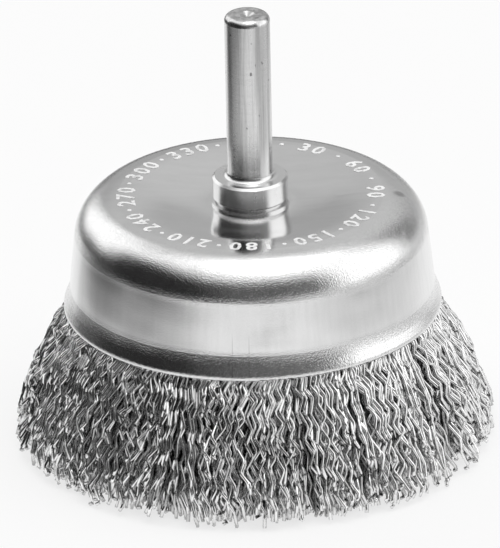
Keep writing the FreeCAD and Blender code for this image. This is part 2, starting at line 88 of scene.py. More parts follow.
class Signal:
    """A number that varies over a surface: wraps a shader socket and does arithmetic on it."""

    def __init__(self, graph: "Graph", socket: bpy.types.NodeSocket) -> None:
        """Wraps an output socket of the graph."""
        self.graph = graph
        self.socket = socket

    def step(
        self, operation: MathStep, other: Optional[Operand] = None, first: Optional[Number] = None
    ) -> "Signal":
        """Adds one Math node.

        Args:
            operation: what the node does.
            other: the operand after this signal, if there is one.
            first: a number that goes before this signal, if there is one.

        Returns:
            The node's result.
        """
        operands = [operand for operand in (first, self, other) if operand is not None]
        return self.graph.out("ShaderNodeMath", {"operation": operation.value}, dict(enumerate(operands)))

    def __add__(self, other: Operand) -> "Signal":
        """self + other."""
        return self.step(MathStep.ADD, other)

    __radd__ = __add__

    def __sub__(self, other: Operand) -> "Signal":
        """self - other."""
        return self.step(MathStep.SUBTRACT, other)

    def __rsub__(self, other: Number) -> "Signal":
        """other - self."""
        return self.step(MathStep.SUBTRACT, first=other)

    def __mul__(self, other: Operand) -> "Signal":
        """self * other."""
        return self.step(MathStep.MULTIPLY, other)

    __rmul__ = __mul__

    def __pow__(self, other: Number) -> "Signal":
        """self to the power of other."""
        return self.step(MathStep.POWER, other)

    def __abs__(self) -> "Signal":
        """The size of self without its sign."""
        return self.step(MathStep.ABSOLUTE)

    def at_least(self, other: "Signal") -> "Signal":
        """The larger of self and other."""
        return self.step(MathStep.MAXIMUM, other)

    def centred(self) -> "Signal":
        """A noise pattern's swing about its middle, 0.5."""
        return self - 0.5

    def over(self, low: Number, high: Number) -> "Signal":
        """Goes smoothly from 0 where self is low to 1 where it is high."""
        sockets = {"Value": self, "From Min": low, "From Max": high}
        return self.graph.out("ShaderNodeMapRange", {"interpolation_type": "SMOOTHSTEP"}, sockets)

    def under(self, low: Number, high: Number) -> "Signal":
        """Goes smoothly from 1 where self is low to 0 where it is high."""
        return 1 - self.over(low, high)

    def within(self, middle: Number, reach: Number, soft: Number) -> "Signal":
        """1 within reach of the middle, falling to 0 over the soft distance beyond."""
        return 1 - abs(self - middle).over(reach, reach + soft)


@dataclass(frozen=True)
class Noise:
    """A cloudy pattern of a finish.

    Attributes:
        size_mm: how wide its features are.
        detail: how many finer layers it has.
        roughness: how strong the finer layers are.
        scale: the scale of each axis, for a pattern that runs one way.
    """

    size_mm: float
    detail: float = 2.0
    roughness: float = 0.5
    scale: Triple = (1.0, 1.0, 1.0)


class Graph:
    """The node tree of one material, or of the world."""

    def __init__(self, name: str, kind: Any = None) -> None:
        """Starts an empty material, or one of another kind of Blender's data, such as the worlds."""
        self.owner = (bpy.data.materials if kind is None else kind).new(name)
        self.owner.use_nodes = True
        self.tree = self.owner.node_tree
        self.tree.nodes.clear()

    def node(
        self, kind: str, settings: Optional[dict[str, Any]] = None, sockets: Optional[Sockets] = None
    ) -> bpy.types.Node:
        """Adds any node.

        Args:
            kind: the node's type.
            settings: attributes to set first, such as a Math node's operation.
            sockets: values or links by the socket's name or number.

        Returns:
            The node.
        """
        made = self.tree.nodes.new(kind)
        for name, value in (settings or {}).items():
            setattr(made, name, value)
        for key, value in (sockets or {}).items():
            socket = made.inputs[key]
            if isinstance(value, Signal):
                self.tree.links.new(value.socket, socket)
            elif isinstance(value, bpy.types.NodeSocket):
                self.tree.links.new(value, socket)
            else:
                socket.default_value = value
        return made

    def out(
        self,
        kind: str,
        settings: Optional[dict[str, Any]] = None,
        sockets: Optional[Sockets] = None,
        output: Union[int, str] = 0,
    ) -> Signal:
        """Adds any node and returns one of its outputs as a signal."""
        return Signal(self, self.node(kind, settings, sockets).outputs[output])

    def place(self) -> bpy.types.NodeSocket:
        """The point's place in the object, in metres."""
        return self.node("ShaderNodeTexCoord").outputs["Object"]

    def axes(self, at: bpy.types.NodeSocket) -> tuple[Signal, Signal, Signal]:
        """The three numbers of a vector: across, ahead and up."""
        split = self.node("ShaderNodeSeparateXYZ", {}, {0: at})
        return tuple(Signal(self, output) for output in split.outputs)

    def away_from(self, spot: Triple) -> Signal:
        """The distance from a spot on the object, in metres."""
        settings = {"operation": "DISTANCE"}
        return self.out("ShaderNodeVectorMath", settings, {0: self.place(), 1: spot}, "Value")

    def noise(self, pattern: Noise) -> Signal:
        """A cloudy pattern on the object, from 0 to 1."""
        place = self.node("ShaderNodeMapping", {}, {"Vector": self.place(), "Scale": pattern.scale})
        sockets = {
            "Vector": place.outputs[0],
            "Scale": 1 / (pattern.size_mm * MM),
            "Detail": pattern.detail,
            "Roughness": pattern.roughness,
        }
        return self.out("ShaderNodeTexNoise", {}, sockets)

    def grey(self, tone: Signal) -> bpy.types.NodeSocket:
        """A grey of that tone."""
        return self.node("ShaderNodeCombineColor", {}, {0: tone, 1: tone, 2: tone}).outputs[0]

    def bump(self, height: Signal, depth: float) -> bpy.types.NodeSocket:
        """A normal tilted by a height signal, of which 1 stands for the depth."""
        return self.node("ShaderNodeBump", {}, {"Height": height, "Distance": depth}).outputs[0]

    def surface(self, **sockets: Any) -> bpy.types.Material:
        """Ends the material with a Principled surface."""
        named = {name.replace("_", " "): value for name, value in sockets.items()}
        return self.end(self.node("ShaderNodeBsdfPrincipled", {}, named), "ShaderNodeOutputMaterial")

    def end(self, shader: bpy.types.Node, output: str) -> Any:
        """Links a shader to the output node and returns the material or world."""
        self.node(output, {}, {0: shader.outputs[0]})
        return self.owner


def off_axis(across: Signal, ahead: Signal) -> Signal:
    """The distance from the brush's axis."""
    return (across * across + ahead * ahead) ** 0.5


def azimuth(across: Signal, ahead: Signal) -> Signal:
    """The direction round the brush in degrees: 0 towards the camera, growing to the right."""
    return across.step(MathStep.ARCTAN2, -1 * ahead) * TO_DEGREES


@dataclass(frozen=True)
class InnerPlate:
    """The dull zinc plate of the pieces inside the brush.

    Attributes:
        tone, roughness: its shade, and how blurred it mirrors.
        patches, patch_shade: its unevenness, and how strong that is as a share of the tone.
        grain, grain_blur: its fine grain, and what that adds to the roughness.
        bump_depth: how deep the grain is.
    """

    tone: float = 0.6
    roughness: float = 0.35
    patches: Noise = Noise(9.0, 3.0)
    patch_shade: float = 0.14
    grain: Noise = Noise(0.45, 3.0, 0.6)
    grain_blur: float = 0.1
    bump_depth: float = 0.004 * MM

    def material(self) -> bpy.types.Material:
        """Builds the finish."""
        graph = Graph("inner_plate_finish")
        grain = graph.noise(self.grain)
        tone = self.tone * (1 + self.patch_shade * graph.noise(self.patches).centred())
        rough = self.roughness + self.grain_blur * grain.centred()
        normal = graph.bump(grain, self.bump_depth)
        return graph.surface(Base_Color=graph.grey(tone), Metallic=1.0, Roughness=rough, Normal=normal)


@dataclass(frozen=True)
class CupPlate:
    """The drawn cup's bright plate: smooth on the flat top, grainy where the sheet was stretched.

    A shade is a share of the tone, a blur is added to the roughness, and a relief is a share of the
    bump's depth.

    Attributes:
        tone: its shade.
        plain: the shade of the plain plate, without its patches, lines and grain.
        roughness: how blurred it mirrors.
        flat_edge: the radii between which the flat top turns into the stretched shoulder.
        patches, patch_shade, patch_blur: its cloudy unevenness.
        rolled: the lines that rolling left in the sheet, which show on the flat top.
        drawn: the upright lines that drawing left on the shoulder and wall.
        line_shade: how strong both are.
        grain, grain_shade, grain_blur, grain_relief: its fine grain.
        grainy_shoulder, grainy_step: the heights above and below which it is grainy.
        grainy_blur, grainy_relief: what grainy plate adds.
        waves, wave_relief: the slow waves of the shoulder and wall.
        step_wave, step_top: how much more the stepped rim waves, and up to which height.
        hairlines_deg, hairline_width: two fine upright scratches on the wall, and half of their
            width with its soft edge, all in degrees.
        hairline_shade, hairline_top: how dark they are, and up to which height they go.
        dent, dent_slope, dent_relief: the small dent at the shoulder's edge, its reach and depth.
        dent_stain, dent_shade, dent_mottle: the reach of the darker spot round it, how dark that is and its
            grain.
        bump_depth: the depth that the bump stands for.
    """

    tone: float = 0.81
    plain: float = 0.98
    roughness: float = 0.13
    flat_edge: Ramp = (17.6 * MM, 20.6 * MM)
    patches: Noise = Noise(7.0, 4.0, 0.6)
    patch_shade: float = 0.1
    patch_blur: float = 0.12
    rolled: Noise = Noise(1.6, 4.0, 0.65, (0.2, 1.0, 1.0))
    drawn: Noise = Noise(0.9, 3.0, 0.6, (1.0, 1.0, 0.04))
    line_shade: float = 0.12
    grain: Noise = Noise(0.2, 1.0, 0.6)
    grain_shade: float = 0.5
    grain_blur: float = 0.1
    grain_relief: float = 0.1
    grainy_shoulder: Ramp = (28 * MM, 29.5 * MM)
    grainy_step: Ramp = (21.2 * MM, 22.4 * MM)
    grainy_blur: float = 0.07
    grainy_relief: float = 1.3
    waves: Noise = Noise(7.5, 1.0)
    wave_relief: float = 5.0
    step_wave: float = 0.4
    step_top: Ramp = (22.5 * MM, 24 * MM)
    hairlines_deg: tuple[float, float] = (-6.7, -1.5)
    hairline_width: tuple[float, float] = (0.06, 0.12)
    hairline_shade: float = 0.17
    hairline_top: Ramp = (23 * MM, 25 * MM)
    dent: Triple = (19.6 * MM, 0, 33.6 * MM)
    dent_stain: Ramp = (0.35 * MM, 1.1 * MM)
    dent_shade: float = 0.6
    dent_mottle: float = 0.6
    dent_slope: Ramp = (0.3 * MM, 1.3 * MM)
    dent_relief: float = 1.4
    bump_depth: float = 0.024 * MM

    def material(self) -> bpy.types.Material:
        """Builds the finish."""
        graph = Graph("cup_plate_finish")
        across, ahead, up = graph.axes(graph.place())
        stretched = off_axis(across, ahead).over(*self.flat_edge)
        grainy = up.over(*self.grainy_shoulder) * stretched + up.under(*self.grainy_step)
        patches = graph.noise(self.patches)
        grain = graph.noise(self.grain)
        dent = graph.away_from(self.dent)
        tone = self.plain + self.patch_shade * patches.centred()
        tone = tone + self.grain_shade * grain.centred() * grainy
        tone = self.tone * (tone + self.line_shade * self.lines(graph, stretched).centred())
        turn = azimuth(across, ahead)
        for line in self.hairlines_deg:
            scratch = turn.within(line, *self.hairline_width) * up.under(*self.hairline_top)
            tone = tone * (1 - self.hairline_shade * scratch)
        # The plate is darker round the dent, mottled by the grain.
        mottled = 1 - self.dent_mottle + self.dent_mottle * grain
        tone = tone * (1 - self.dent_shade * dent.under(*self.dent_stain) * mottled)
        rough = self.roughness + self.grain_blur * grain.centred() + self.patch_blur * patches.centred()
        rough = rough + self.grainy_blur * grainy
        height = grain * (self.grain_relief + self.grainy_relief * grainy)
        height = height + self.dent_relief * dent.over(*self.dent_slope)
        wavy = stretched * (1 + self.step_wave * up.under(*self.step_top))
        height = height + self.wave_relief * graph.noise(self.waves).centred() * wavy
        normal = graph.bump(height, self.bump_depth)
        return graph.surface(Base_Color=graph.grey(tone), Metallic=1.0, Roughness=rough, Normal=normal)

    def lines(self, graph: Graph, stretched: Signal) -> Signal:
        """The sheet's rolled lines, or the drawn lines where it is stretched."""
        rolled = graph.noise(self.rolled)
        return rolled + (graph.noise(self.drawn) - rolled) * stretched


@dataclass(frozen=True)
class ShankPlate:
    """The turned shank's bright plate: streaks along it, fine turning rings and a few pits.

    Attributes:
        tone: its shade.
        roughness: how blurred it mirrors.
        foot: the heights between which the collar turns into the shank.
        streaks, streak_edge, streak_shade, streak_blur: dark streaks along the shank.
        rings, ring_blur, ring_relief: the tool's fine rings round it.
        grain, grain_shade, grain_relief: the fine grain of the plate.
        pits, pit_edge, pit_shade: small dark pits on the shank, one bump deep.
        bump_depth: the depth that the bump stands for.
    """

    tone: float = 0.78
    roughness: float = 0.25
    foot: Ramp = (36.9 * MM, 37.7 * MM)
    streaks: Noise = Noise(1.3, 4.0, 0.7, (1.0, 1.0, 0.03))
    streak_edge: Ramp = (0.38, 0.62)
    streak_shade: float = 0.34
    streak_blur: float = 0.14
    rings: Noise = Noise(0.35, 2.0, 0.5, (0.05, 0.05, 1.0))
    ring_blur: float = 0.08
    ring_relief: float = 0.5
    grain: Noise = Noise(0.3)
    grain_shade: float = 0.1
    grain_relief: float = 0.4
    pits: Noise = Noise(0.8, 1.0)
    pit_edge: Ramp = (0.7, 0.76)
    pit_shade: float = 0.6
    bump_depth: float = 0.006 * MM

    def material(self) -> bpy.types.Material:
        """Builds the finish."""
        graph = Graph("shank_plate_finish")
        on_shank = graph.axes(graph.place())[2].over(*self.foot)
        streaks = graph.noise(self.streaks)
        rings = graph.noise(self.rings)
        grain = graph.noise(self.grain)
        pits = graph.noise(self.pits).over(*self.pit_edge) * on_shank
        tone = self.tone * (1 - self.streak_shade * streaks.under(*self.streak_edge) * on_shank)
        tone = tone * (1 - self.pit_shade * pits) * (1 + self.grain_shade * grain.centred())
        rough = self.roughness + self.streak_blur * streaks.centred() + self.ring_blur * rings.centred()
        normal = graph.bump(self.ring_relief * rings + self.grain_relief * grain - pits, self.bump_depth)
        return graph.surface(Base_Color=graph.grey(tone), Metallic=1.0, Roughness=rough, Normal=normal)


@dataclass(frozen=True)
class StampedWhite:
    """The pale, rough ground of the stamped marks, uneven from mark to mark.

    Attributes:
        tone, worn_shade: its shade, and that of its worn places as a share of it.
        worn, worn_edge: where they are, and how sharply they end.
        roughness: how dull it is.
    """

    tone: float = 0.97
    worn_shade: float = 0.72
    worn: Noise = Noise(0.7)
    worn_edge: Ramp = (0.3, 0.55)
    roughness: float = 0.5

    def material(self) -> bpy.types.Material:
        """Builds the finish."""
        graph = Graph("stamped_white")
        whole = graph.noise(self.worn).over(*self.worn_edge)
        tone = self.tone * (self.worn_shade + (1 - self.worn_shade) * whole)
        return graph.surface(Base_Color=graph.grey(tone), Roughness=self.roughness)


@dataclass(frozen=True)
class DrawnWire:
    """Bright drawn steel wire; each wire has its own random tone, darkened on the deeper wires as painted
    shade between them.

    Attributes:
        dark, light: the shades of the darkest and the brightest wire.
        roughness: how blurred they mirror.
        stains, stain_edge: where the wire is stained, and how sharply that ends.
        stain_shade: the shade of a stain, as a share of the wire's.
        grain, grain_blur: its grain, and what that adds to the roughness.
    """

    dark: float = 0.1
    light: float = 1.0
    roughness: float = 0.15
    stains: Noise = Noise(1.4, 1.0)
    stain_edge: Ramp = (0.36, 0.6)
    stain_shade: float = 0.85
    grain: Noise = Noise(0.25)
    grain_blur: float = 0.2

    def material(self) -> bpy.types.Material:
        """Builds the finish."""
        graph = Graph("wire_finish")
        # The attribute holds each wire's own tone and the painted shade of the deeper wires.
        tone = graph.out("ShaderNodeAttribute", {"attribute_name": WIRE_TONE_AND_PAINTED_SHADE}, {}, "Fac")
        clean = graph.noise(self.stains).over(*self.stain_edge)
        tone = tone * (self.stain_shade + (1 - self.stain_shade) * clean)
        shade = self.dark + (self.light - self.dark) * tone
        rough = self.roughness + self.grain_blur * graph.noise(self.grain).centred()
        return graph.surface(Base_Color=graph.grey(shade), Metallic=1.0, Roughness=rough)


class Side(Enum):
    """Which leg of a folded wire; its value is the way that it stands off the fold."""

    OUTER = 1
    INNER = -1


@dataclass(frozen=True)
class Wire:
    """One leg of a folded wire, as the numbers that its path is worked out from.

    Attributes:
        azimuth: where it leaves the cup, in radians.
        depth: its place between the outermost layer, 0, and the hollow, 1.
        phase: how far its first bend is shifted, in half waves.
        swing: how far a bend stands out from the wire's line, in metres; its sign starts the zigzag.
        plane: the angle of the zigzag's plane from the brush's outline, in radians.
        lean: how far the tip stands sideways of the root, in metres.
        sway: how far the wire's line bows, in metres.
        wander: where its weaving in and out of the skirt starts, in radians.
        tip_height: where it ends, in metres above the floor.
        tone: its shade, from 0, dark, to 1, light: its random tone, darkened with depth as painted shade
            between the wires.
        twist: how far the zigzag's plane turns from root to tip, in radians.
        beats: how far each bend is early or late, in half waves.
        sizes: each bend's swing as a share of the wire's.
    """

    azimuth: float
    depth: float
    phase: float
    swing: float
    plane: float
    lean: float
    sway: float
    wander: float
    tip_height: float
    tone: float
    twist: float
    beats: tuple[float, ...]
    sizes: tuple[float, ...]

    @property
    def side(self) -> Side:
        """Whether it hangs outside the fold or inside it."""
        return Side.OUTER if self.depth <= FOLD_DEPTH else Side.INNER

    @property
    def inwards(self) -> float:
        """Its place in the fold, from 0, furthest from the ring, to 1, on the ring."""
        return min(self.depth / FOLD_DEPTH, (1 - self.depth) / (1 - FOLD_DEPTH))


@dataclass(frozen=True)
class LegPlan:
    """How the legs on one side of the fold are laid out.

    Attributes:
        layers: how many layers lie behind each other.
        locks: how many locks go round each layer.
        bends: how many bends a leg has.
        flare: how soon it flares: 1 is an even cone, and more spreads it close below the cup.
    """

    layers: int
    locks: int
    bends: int
    flare: float


@dataclass(frozen=True)
class Scatter:
    """How much the locks differ from each other, and the wires from their lock.

    Lengths are in metres, angles in radians and the places of bends in half waves. A pair is the
    range of an even spread, and a single number is the deviation of a normal one.

    Attributes:
        counts: the numbers of wires that a lock may have.
        lock_start: the ways that its zigzag may start.
        lock_place, wire_place: moves round the brush, as a share of the lock's width.
        lock_swing, wire_swing: the swing, as a share of the crimp and of the lock's swing.
        strays: the share of wires that stray.
        stray_gain: how many times as far a stray wire differs from its lock.
        lock_phase to lock_size, wire_depth to wire_beat: the other numbers that Wire names.
    """

    counts: tuple[int, ...] = (6, 6, 7, 8, 8)
    lock_place: Ramp = (-0.2, 0.2)
    lock_phase: float = 0.12
    lock_swing: Ramp = (0.85, 1.2)
    lock_start: tuple[int, ...] = (-1, 1, 1, 1, 1, 1, 1)
    lock_plane: Ramp = (-0.9, 0.9)
    lock_lean: float = 0.9 * MM
    lock_sway: float = 0.5 * MM
    lock_twist: float = 0.5
    lock_beat: Ramp = (-0.15, 0.15)
    lock_size: Ramp = (0.75, 1.25)
    strays: float = 0.08
    stray_gain: float = 3.0
    wire_place: float = 0.03
    wire_depth: float = 0.012
    wire_phase: float = 0.1
    wire_swing: Ramp = (0.85, 1.15)
    wire_plane: float = 0.35
    wire_lean: float = 0.22 * MM
    wire_sway: float = 0.12 * MM
    wire_wander: float = 0.5
    wire_tone: Ramp = (0.8, 1.0)
    wire_twist: float = 0.15
    wire_beat: float = 0.04


@dataclass
class WireSkirt:
    """The crimped wires, from their fold over the anchor ring down to the trimmed tips.

    The wires lie in locks: a few neighbours whose zigzags run side by side. Outer legs leave the cup
    at its rim and flare; inner legs leave the inner cup's rim and end round the hollow. A depth goes
    from the outermost layer, 0, to the hollow, 1.

    Attributes:
        wire_radius, sides: half of a wire's thickness, and the sides of its section.
        tufts: how many pieces the skirt is split into.
        outer, inner, scatter: how the legs on each side are laid out, and how much they differ.
        crimp: how far a bend stands out from the wire's line.
        crest: half the length of a rounded bend, in half waves.
        fine_depth: down to which depth the bends show, and are rounded.
        least_step: the least distance between two rings, as a share of the leg.
        gather: how much shorter than even the bends near the root are, as a share.
        weave, weave_waves: how far a wire wanders in and out of the skirt, and how many times.
        shared_phase, phase_waves, phase_depth: how far neighbouring locks' first bends drift
            together, how many times round the skirt, and how fast from layer to layer.
        shoulder_deg: how far above the ring's middle the fold's shoulder lies.
        root_clearance: the room between the roots and the cups beside them.
        rim_clearance: how far above the cup's rim, or below the inner cup's, the roots lie.
        hollow_radius, tip_radius: where the innermost and the outermost tips end.
        deep_tone: the least share of its tone that the painted shade of depth leaves a deep wire.
        trim, trim_spread: the usual height of a tip, and its range as a share of that.
        low_tips, low_spread: the share of tips that end lowest, and their range.
        long_trim, long_depth, long_power: how high the slant trim ends some outer wires, down to
            which depth, and how rare the highest are.
        seed: what the random draws start from.
    """

    wire_radius: float = 0.255 * MM
    sides: int = 4
    tufts: int = 12
    outer: LegPlan = LegPlan(layers=6, locks=56, bends=11, flare=1.65)
    inner: LegPlan = LegPlan(layers=4, locks=26, bends=8, flare=1.3)
    scatter: Scatter = Scatter()
    crimp: float = 0.29 * MM
    crest: float = 0.15
    fine_depth: float = 0.12
    least_step: float = 0.01
    gather: float = 0.13
    weave: float = 0.45 * MM
    weave_waves: float = 1.7
    shared_phase: float = 0.3
    phase_waves: float = 3
    phase_depth: float = 9
    shoulder_deg: float = 30
    root_clearance: float = 0.3 * MM
    rim_clearance: float = 0.4 * MM
    hollow_radius: float = 15.7 * MM
    tip_radius: float = 31.9 * MM
    deep_tone: float = 0.2
    trim: float = 1.2 * MM
    trim_spread: Ramp = (0.28, 1.1)
    low_tips: float = 0.05
    low_spread: Ramp = (0.22, 0.3)
    long_trim: float = 6.5 * MM
    long_depth: float = 0.16
    long_power: int = 3
    seed: int = 11

    def __post_init__(self) -> None:
        """Reads the places that the wires must meet from the frame."""
        shell, inner, ring = (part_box(name) for name in ("cup_shell", "inner_cup", "anchor_ring"))
        self.random = random.Random(self.seed)
        self.ring_wire = (ring[1][2] - ring[0][2]) / 2
        self.fold_radius = ring[1][0] - self.ring_wire
        self.fold_height = (ring[0][2] + ring[1][2]) / 2
        self.rim_height = shell[0][2] + self.rim_clearance
        self.rim_radius = shell[1][0] - CUP_SHEET - self.root_clearance
        self.inner_height = inner[0][2] - self.rim_clearance
        self.inner_radius = inner[1][0] + self.root_clearance
        self.fold_reach = self.fold_radius - self.inner_radius

    def legs(self) -> list[Wire]:
        """Every leg of every wire, lock by lock."""
        wires: list[Wire] = []
        for layer in range(self.outer.layers):
            wires += self.layer(FOLD_DEPTH * layer / self.outer.layers, self.outer.locks)
        for layer in range(self.inner.layers):
            behind = (1 - FOLD_DEPTH) * (layer + 1) / self.inner.layers
            wires += self.layer(FOLD_DEPTH + behind, self.inner.locks)
        return wires

    def layer(self, depth: float, locks: int) -> list[Wire]:
        """The wires of one layer.

        Args:
            depth: how deep in the skirt it lies.
            locks: how many locks there are round it.

        Returns:
            The wires.
        """
        wires: list[Wire] = []
        start = self.random.uniform(0, math.tau)
        for lock in range(locks):
            place = lock + self.random.uniform(*self.scatter.lock_place)
            wires += self.lock(start + place * math.tau / locks, math.tau / locks, depth)
        return wires

    def lock(self, middle: float, width: float, depth: float) -> list[Wire]:
        """Neighbouring wires whose zigzags run side by side.

        Args:
            middle: the lock's azimuth, in radians.
            width: its width, in radians.
            depth: how deep in the skirt it lies.

        Returns:
            The wires.
        """
        rand, spread = self.random, self.scatter
        count = rand.choice(spread.counts)
        drift = math.sin(self.phase_waves * middle + self.phase_depth * depth)
        phase = 0.5 + self.shared_phase * drift + rand.gauss(0, spread.lock_phase)
        swing = self.crimp * rand.uniform(*spread.lock_swing) * rand.choice(spread.lock_start)
        plane = rand.uniform(*spread.lock_plane)
        lean = rand.gauss(0, spread.lock_lean)
        sway = rand.gauss(0, spread.lock_sway)
        wander = rand.uniform(0, math.tau)
        twist = rand.gauss(0, spread.lock_twist)
        # Bends are counted from 1, and one number is to spare.
        bends = max(self.outer.bends, self.inner.bends) + 2
        beats = [rand.uniform(*spread.lock_beat) for _ in range(bends)]
        sizes = [rand.uniform(*spread.lock_size) for _ in range(bends)]
        wires: list[Wire] = []
        for place in range(count):
            stray = spread.stray_gain if rand.random() < spread.strays else 1.0
            offset = (place + 0.5) / count - 0.5
            wires.append(
                Wire(
                    azimuth=middle + width * (offset + rand.gauss(0, spread.wire_place)),
                    depth=min(max(depth + rand.gauss(0, spread.wire_depth), 0), 1),
                    phase=phase + rand.gauss(0, spread.wire_phase) * stray,
                    swing=swing * rand.uniform(*spread.wire_swing),
                    plane=plane + rand.gauss(0, spread.wire_plane) * stray,
                    lean=lean + rand.gauss(0, spread.wire_lean) * stray,
                    sway=sway + rand.gauss(0, spread.wire_sway) * stray,
                    wander=wander + rand.gauss(0, spread.wire_wander) * stray,
                    tip_height=self.tip_height(depth),
                    # Painted shade between the wires: a deeper wire is darker than its random tone.
                    tone=rand.uniform(*spread.wire_tone) * max(1 - depth / FOLD_DEPTH, self.deep_tone),
                    twist=twist + rand.gauss(0, spread.wire_twist),
                    beats=tuple(beat + rand.gauss(0, spread.wire_beat) * stray for beat in beats),
                    sizes=tuple(sizes),
                )
            )
        return wires

    def tip_height(self, depth: float) -> float:
        """How high a wire of that depth ends: some of the outermost were trimmed at a slant."""
        rand = self.random
        share = rand.uniform(*self.trim_spread)
        if rand.random() < self.low_tips:
            share = rand.uniform(*self.low_spread)
        slant = max(1 - depth / self.long_depth, 0) * rand.random() ** self.long_power
        return self.trim * share + self.long_trim * slant

    def plan(self, wire: Wire) -> LegPlan:
        """How the legs on that wire's side are laid out."""
        return self.outer if wire.side is Side.OUTER else self.inner

    def fold(self, wire: Wire) -> list[Vector]:
        """The crown and the shoulder of a wire's fold over the ring."""
        on_ring = self.ring_wire + self.wire_radius
        reach = self.fold_reach + (on_ring - self.fold_reach) * wire.inwards
        rise = math.radians(self.shoulder_deg)
        out = wire.side.value * reach * math.cos(rise)
        crown = Vector((self.fold_radius, 0, self.fold_height + reach))
        shoulder = Vector((self.fold_radius + out, 0, self.fold_height + reach * math.sin(rise)))
        return [crown, shoulder]

    def root(self, wire: Wire) -> tuple[float, float]:
        """The radius and height at which a wire leaves the cup, or the inner cup."""
        by_ring = self.fold_radius + wire.side.value * (self.ring_wire + self.wire_radius)
        if wire.side is Side.OUTER:
            by_cup, height = self.rim_radius, self.rim_height
        else:
            by_cup, height = self.inner_radius, self.inner_height
        return by_cup + (by_ring - by_cup) * wire.inwards, height

    def path(self, wire: Wire) -> list[Vector]:
        """The middle of a wire from its tip up to the crown of its fold.

        Args:
            wire: the wire.

        Returns:
            Points in the wire's own upright plane: outwards, sideways and up.
        """
        root_radius, root_height = self.root(wire)
        tip_radius = self.tip_radius + (self.hollow_radius - self.tip_radius) * wire.depth
        power = self.outer.flare + (self.inner.flare - self.outer.flare) * wire.depth
        drop = root_height - wire.tip_height
        # At the outside and round the hollow, a wire weaves only into the skirt.
        held = min(2 * wire.inwards, 1) - 1
        points = [*self.fold(wire), Vector((root_radius, 0, root_height))]
        for along, share in self.rings(wire):
            fall = along * (1 - self.gather + self.gather * along)
            flared = 1 - (1 - fall * drop / root_height) ** power
            swing = wire.swing * share
            plane = wire.plane + wire.twist * along
            bow = wire.sway * math.sin(math.pi * along)
            drift = math.sin(wire.wander + math.tau * self.weave_waves * along) + held
            weave = self.weave * wire.side.value * drift * min(2 * along, 1)
            out = root_radius + (tip_radius - root_radius) * flared + swing * math.sin(plane) + weave
            across = swing * math.cos(plane) + wire.lean * fall + bow
            points.append(Vector((out, across, root_height - drop * fall)))
        return points[::-1]

    def rings(self, wire: Wire) -> list[tuple[float, float]]:
        """The rings of a wire's crimped part.

        A bend that shows has two, which round it, and any other has one. One more is at the tip.

        Args:
            wire: the wire.

        Returns:
            Each ring's place from root, 0, to tip, 1, and its swing as a share of the wire's.
        """
        bends = self.plan(wire).bends
        crests = (-self.crest, self.crest) if wire.depth < self.fine_depth else (0.0,)
        total = len(crests) * bends
        rings: list[tuple[float, float]] = []
        for bend in range(1, bends + 1):
            way = 1 if bend % 2 else -1
            for crest in crests:
                along = (bend - wire.phase % 1 + wire.beats[bend] + crest) / bends
                first = self.least_step * (len(rings) + 1)
                last = 1 - self.least_step * (total - len(rings))
                rings.append((min(max(along, first), last), way * wire.sizes[bend]))
        way = -1 if bends % 2 else 1
        rings.append((1.0, way * (1 - 2 * (wire.phase % 1))))
        return rings

    def template(self, rings: int) -> bmesh.types.BMesh:
        """A straight wire of that many rings, one unit apart, which the wires are bent from."""
        bm = bmesh.new()
        bmesh.ops.create_circle(bm, cap_ends=True, radius=self.wire_radius, segments=self.sides)
        edges = list(bm.edges)
        for _ in range(rings - 1):
            grown = bmesh.ops.extrude_edge_only(bm, edges=edges)["geom"]
            verts = [item for item in grown if isinstance(item, bmesh.types.BMVert)]
            lines = [item for item in grown if isinstance(item, bmesh.types.BMEdge)]
            edges = [line for line in lines if all(vert in verts for vert in line.verts)]
            bmesh.ops.translate(bm, verts=verts, vec=(0, 0, 1))
        for face in bm.faces:
            face.smooth = True
        bmesh.ops.holes_fill(bm, edges=edges, sides=self.sides)
        bmesh.ops.recalc_face_normals(bm, faces=bm.faces)
        bm.verts.layers.float.new(WIRE_TONE_AND_PAINTED_SHADE)
        return bm

    def bent(self, template: bmesh.types.BMesh, wire: Wire, path: Sequence[Vector]) -> bmesh.types.BMesh:
        """A copy of the template with each ring laid on the path."""
        bm = template.copy()
        verts = sorted(bm.verts, key=lambda vert: vert.co.z)
        turn = Matrix.Rotation(wire.azimuth, 4, "Z")
        for ring, point in enumerate(path):
            before, after = path[max(ring - 1, 0)], path[min(ring + 1, len(path) - 1)]
            facing = (after - before).to_track_quat("Z", "Y").to_matrix().to_4x4()
            home = Matrix.Translation((0, 0, -ring))
            here = verts[ring * self.sides : (ring + 1) * self.sides]
            bmesh.ops.transform(bm, matrix=turn @ Matrix.Translation(point) @ facing @ home, verts=here)
        layer = bm.verts.layers.float[WIRE_TONE_AND_PAINTED_SHADE]
        for vert in verts:
            vert[layer] = wire.tone
        return bm

    def build(self) -> None:
        """Bends every wire and joins them into tufts, each in place of the same bundles."""
        templates: dict[int, bmesh.types.BMesh] = {}
        tufts = [bmesh.new() for _ in range(self.tufts)]
        for tuft in tufts:
            tuft.verts.layers.float.new(WIRE_TONE_AND_PAINTED_SHADE)
        bundle_turn = math.tau / BUNDLES
        each = BUNDLES // self.tufts
        scratch = bpy.data.meshes.new("scratch")
        for wire in self.legs():
            path = self.path(wire)
            if len(path) not in templates:
                templates[len(path)] = self.template(len(path))
            bm = self.bent(templates[len(path)], wire, path)
            bm.to_mesh(scratch)
            bm.free()
            place = int((wire.azimuth / bundle_turn + 0.5) // each) % self.tufts
            tufts[place].from_mesh(scratch)
        bpy.data.meshes.remove(scratch)
        for template in templates.values():
            template.free()
        finish = DrawnWire().material()
        for number, tuft in enumerate(tufts):
            piece = add_piece(f"wire_tuft_{number + 1:02d}", tuft, finish)
            bundles = [f"wire_bundle_{number * each + step + 1:02d}" for step in range(each)]
            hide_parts(*bundles)


